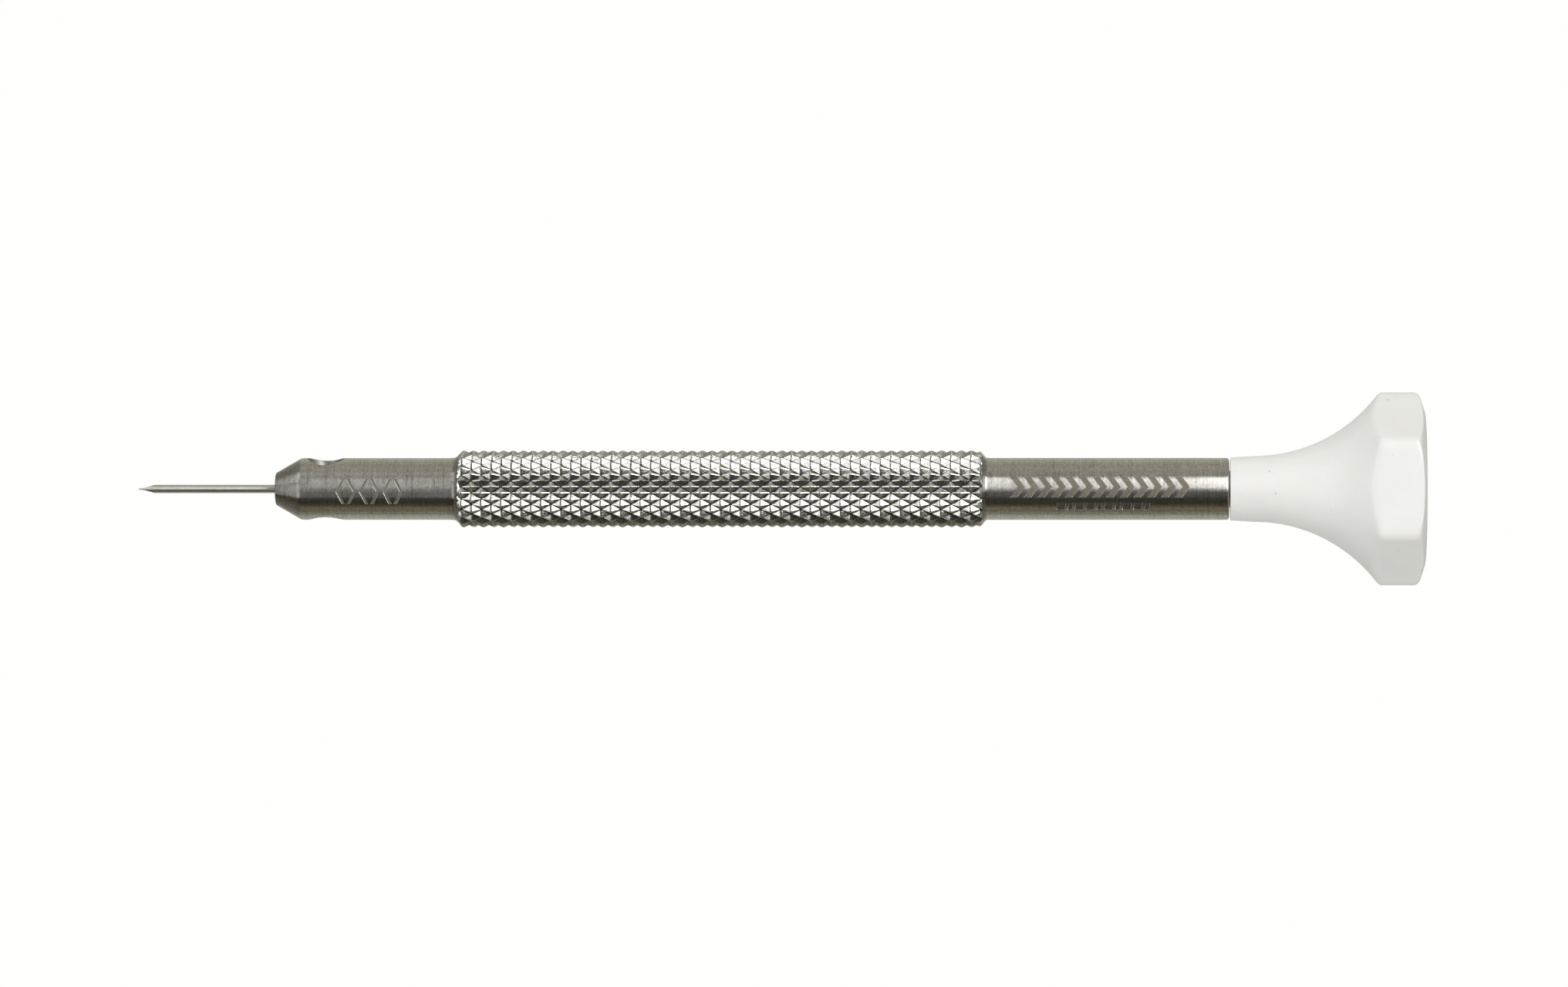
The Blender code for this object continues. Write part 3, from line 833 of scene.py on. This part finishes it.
def make_head():
    """The shell: neck, flare, six flats, turned end, and the bore with the bearing's seat."""
    flare_centre = NECK_END_RADIUS + FLARE_RADIUS
    reach = (flare_centre - RIM_RADIUS) / FLARE_RADIUS
    stop = atan2(-reach, sqrt(1 - reach**2))
    neck = [
        (HEAD_X, HEAD_BORE, HEAD_EDGE),
        (HEAD_X, NECK_RADIUS, HEAD_EDGE),
        (NECK_END, NECK_END_RADIUS, 0),
    ]
    outside = rounded(neck)[:-1]
    outside += arc(NECK_END, flare_centre, FLARE_RADIUS, -pi / 2, stop, FLARE_STEPS)
    start_x = outside[-1][0]
    for i in range(1, FLAT_STEPS + 1):
        outside.append((start_x + (END_FROM - start_x) * i / FLAT_STEPS, RIM_RADIUS))
    for i in range(1, END_RINGS + 1):
        radius = RIM_RADIUS - END_RING_STEP * i
        outside.append((HEAD_END - end_drop(radius), radius))
    end = [(*outside[-1], 0), (HEAD_END, END_RADIUS, END_CORNER), (HEAD_END, CAP_RADIUS, 0)]
    outside += rounded(end)[1:-1]
    inside = rounded(
        [
            (HEAD_END, CAP_RADIUS + CAP_GAP, CAP_SEAT_EDGE),
            (CAP_FROM - CAP_GAP, CAP_RADIUS + CAP_GAP, 0),
            (CAP_FROM - CAP_GAP, BEARING_SEAT, BORE_EDGE),
            (BEARING_SHOULDER, BEARING_SEAT, 0),
            (BEARING_SHOULDER, OUTER_LAND, BORE_EDGE),
            (BEARING_SHOULDER - INNER_CONE_LENGTH, HEAD_BORE, 0),
        ],
        steps=3,
    )
    bm = lathe(outside + inside, HEAD_SEGMENTS, shape=head_shape)
    shell = mesh_object("flared_head", bm, (WHITE_PLASTIC,))
    add_piece(shell, "head", "white_plastic", "head_shell", sharp=40)


def make_finger_cap():
    """The disc in the head's end, dished as a part of a sphere."""
    dish = (CAP_DISH_RADIUS**2 + CAP_DISH_DEPTH**2) / (2 * CAP_DISH_DEPTH)
    centre = CAP_TO - CAP_DISH_DEPTH + dish
    rim = pi - atan2(CAP_DISH_RADIUS, dish - CAP_DISH_DEPTH)
    hollow = arc(centre, 0, dish, rim, pi, DISH_STEPS)
    corners = [
        (CAP_FROM, CAP_RADIUS, 0),
        (CAP_TO, CAP_RADIUS, CAP_EDGE),
        (*hollow[0], DISH_EDGE),
        (*hollow[2], 0),
    ]
    profile = [(CAP_FROM, 0), (CAP_FROM, CAP_RADIUS)] + rounded(corners)[1:]
    profile += hollow[3:-1] + [(CAP_TO - CAP_DISH_DEPTH, 0)]
    cap = mesh_object("finger_rest", lathe(profile, CAP_SEGMENTS), (CAP_PLASTIC,))
    add_piece(cap, "head", "cap_plastic", "finger_cap", sharp=40)


# ---------------------------------------------------------------- inner pieces


def dress_inner_pieces():
    """The pieces whose CAD shapes stay get their own materials."""
    finishes = {
        "head_spindle": SPINDLE_STEEL,
        "bearing_inner_ring": BEARING_STEEL,
        "bearing_outer_ring": BEARING_STEEL,
        "bearing_shield_front": SHIELD_STEEL,
        "bearing_shield_rear": SHIELD_STEEL,
        "bearing_cage": CAGE_BRASS,
        "retaining_clip": CLIP_STEEL,
    }
    for number in range(1, 8):
        finishes[f"bearing_ball_{number}"] = BEARING_STEEL
    for node, material in finishes.items():
        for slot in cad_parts[node].material_slots:
            slot.material = material


# ---------------------------------------------------------------- stage

SCENE = bpy.context.scene
# The tool lies tilted on the sheet, and the camera and the sheet are tilted instead.
REST_TILT = radians(2.84)
LENS = 176.9
CAMERA_TARGET = Vector((45.43, -0.32, 0))
CAMERA_DISTANCE = 540
SHEET_HALF_SIZE = 1500
REST_EDGE_X = 86.54
SHEET_WHITE = (1.0, 1.0, 0.985, 1.0)


def camera():
    """A long lens straight above the tool, with its picture's right along the tool."""
    data = bpy.data.cameras.new("camera")
    data.sensor_fit = "HORIZONTAL"
    data.sensor_width = 36.0
    data.lens = LENS
    eye = bpy.data.objects.new("camera", data)
    SCENE.collection.objects.link(eye)
    up = Vector((0, 1, 0))
    back = Vector((sin(REST_TILT), 0, cos(REST_TILT)))
    right = up.cross(back)
    turn = Matrix((right, up, back)).transposed().to_4x4()
    place = (CAMERA_TARGET + back * CAMERA_DISTANCE) * MM
    eye.matrix_world = Matrix.Translation(place) @ turn
    data.clip_start = 0.01
    data.clip_end = 20.0
    SCENE.camera = eye


def floor_sheet():
    """A pale sheet that the head's lowest flat and the handle's front shoulder rest on."""
    bm = bmesh.new()
    bmesh.ops.create_grid(bm, x_segments=8, y_segments=8, size=SHEET_HALF_SIZE)
    rest = Vector((REST_EDGE_X, 0, -HEX_HALF_FLATS))
    bm.transform(Matrix.Translation(rest) @ Matrix.Rotation(REST_TILT, 4, "Y"))
    sheet = mesh_object("floor", bm)
    sheet.data.transform(Matrix.Scale(MM, 4))
    paper = Shader("floor_paper", Roughness=0.9)
    paper.bsdf.inputs["Base Color"].default_value = (0.0, 0.0, 0.0, 1.0)
    paper.bsdf.inputs["Specular IOR Level"].default_value = 0.0
    paper.bsdf.inputs["Emission Color"].default_value = SHEET_WHITE
    paper.bsdf.inputs["Emission Strength"].default_value = 1.0
    sheet.data.materials.append(paper.material)
    # The metal reflects the surroundings below instead, a darker grey.
    sheet.visible_glossy = False
    sheet.visible_diffuse = False
    sheet.visible_shadow = False


# Strength of the surroundings as a light on matte surfaces
AMBIENT = 0.66

# Colours of the surroundings as the metal reflects them, by their angle in degrees from
# straight up, positive towards +Y
SURROUNDINGS = [
    (-180, (0.62, 0.62, 0.54)),
    (-122, (0.60, 0.60, 0.53)),
    (-110, (0.41, 0.40, 0.33)),
    (-90, (0.26, 0.24, 0.175)),
    (-72, (0.30, 0.27, 0.19)),
    (-65, (0.10, 0.08, 0.05)),
    (-56, (0.062, 0.059, 0.050)),
    (-26, (0.072, 0.073, 0.068)),
    (-6, (0.11, 0.11, 0.105)),
    (50, (0.10, 0.10, 0.09)),
    (57, (0.46, 0.45, 0.39)),
    (80, (0.62, 0.60, 0.54)),
    (104, (0.53, 0.51, 0.44)),
    (122, (0.60, 0.60, 0.53)),
    (180, (0.62, 0.62, 0.54)),
]

# From and to which part of a direction lies along the tool, and the strengths there
END_FALLOFF = (0.20, 0.50, 1.0, 0.42)


def surroundings():
    """The world: bands of grey for what the metal reflects, flat for everything else."""
    world = bpy.data.worlds.new("studio")
    SCENE.world = world
    world.use_nodes = True
    tree = world.node_tree
    new, link = tree.nodes.new, tree.links.new
    place = new("ShaderNodeTexCoord")
    parts = new("ShaderNodeSeparateXYZ")
    link(place.outputs["Generated"], parts.inputs["Vector"])
    turn = new("ShaderNodeMath")
    turn.operation = "ARCTAN2"
    link(parts.outputs["Y"], turn.inputs[0])
    link(parts.outputs["Z"], turn.inputs[1])
    unit = new("ShaderNodeMapRange")
    unit.inputs["From Min"].default_value = -pi
    unit.inputs["From Max"].default_value = pi
    link(turn.outputs[0], unit.inputs["Value"])
    ramp = new("ShaderNodeValToRGB")
    link(unit.outputs["Result"], ramp.inputs["Fac"])
    elements = ramp.color_ramp.elements
    while len(elements) < len(SURROUNDINGS):
        elements.new(0.5)
    for element, (angle, colour) in zip(elements, SURROUNDINGS):
        element.position = (angle + 180) / 360
        element.color = (*colour, 1.0)
    # The ends of the studio are darker.
    size = new("ShaderNodeMath")
    size.operation = "ABSOLUTE"
    link(parts.outputs["X"], size.inputs[0])
    ends = new("ShaderNodeMapRange")
    for socket, value in zip(("From Min", "From Max", "To Min", "To Max"), END_FALLOFF):
        ends.inputs[socket].default_value = value
    link(size.outputs[0], ends.inputs["Value"])
    reflected = tree.nodes["Background"]
    link(ends.outputs["Result"], reflected.inputs["Strength"])
    link(ramp.outputs["Color"], reflected.inputs["Color"])
    seen = new("ShaderNodeLightPath")
    shown = reflected.outputs["Background"]
    for ray, level in (("Is Diffuse Ray", AMBIENT), ("Is Camera Ray", 1.0)):
        flat = new("ShaderNodeBackground")
        flat.inputs["Color"].default_value = SHEET_WHITE
        flat.inputs["Strength"].default_value = level
        mix = new("ShaderNodeMixShader")
        link(seen.outputs[ray], mix.inputs["Fac"])
        link(shown, mix.inputs[1])
        link(flat.outputs["Background"], mix.inputs[2])
        shown = mix.outputs["Shader"]
    link(shown, tree.nodes["World Output"].inputs["Surface"])
    # The surroundings differ by ray, so they are met by rays and not sampled as a light.
    world.cycles.sampling_method = "NONE"


def softbox(name, place, width, height, radiance, shine):
    """An area light of a given brightness, aimed at the tool. Lengths are in millimetres.

    Its height lies across the tool. One with shine is only reflected, one without only lights.
    """
    data = bpy.data.lights.new(name, "AREA")
    data.shape = "RECTANGLE"
    data.size, data.size_y = width * MM, height * MM
    data.energy = radiance * pi * data.size * data.size_y
    light = bpy.data.objects.new(name, data)
    SCENE.collection.objects.link(light)
    back = (place - TOOL_MIDDLE).normalized()
    along = Vector((0, 1, 0)).cross(back).normalized()
    turn = Matrix((along, back.cross(along), back)).transposed().to_4x4()
    light.matrix_world = Matrix.Translation(place * MM) @ turn
    light.visible_camera = False
    light.visible_diffuse = not shine
    light.visible_glossy = shine


TOOL_MIDDLE = Vector((45, 0, 0))
RIGHT_BOX = TOOL_MIDDLE + 235 * Vector((0.60, 0.32, 0.71))
LEFT_BOX = TOOL_MIDDLE + 600 * Vector((-0.73, -0.10, 0.67))
FAR_LEFT_BOX = TOOL_MIDDLE + 600 * Vector((-0.66, 0.57, 0.48))
FILL_BOX = Vector((60, 150, 410))
# Name, place, width, height, radiance, and whether it shines or only lights
SOFTBOXES = [
    ("right_box", RIGHT_BOX, 130, 165, 7.8, True),
    ("left_box", LEFT_BOX, 290, 480, 1.4, True),
    ("far_left_box", FAR_LEFT_BOX, 260, 360, 1.5, True),
    ("fill_box", FILL_BOX, 400, 400, 1.95, False),
]


def studio_light():
    for box in SOFTBOXES:
        softbox(*box)


def colour_management():
    SCENE.view_settings.view_transform = "Standard"
    SCENE.view_settings.look = "None"
    SCENE.view_settings.exposure = 0.0
    SCENE.view_settings.gamma = 1.0


def main():
    make_handle()
    make_blade()
    make_clamp_screws()
    make_head()
    make_finger_cap()
    dress_inner_pieces()
    floor_sheet()
    surroundings()
    studio_light()
    camera()
    colour_management()


main()
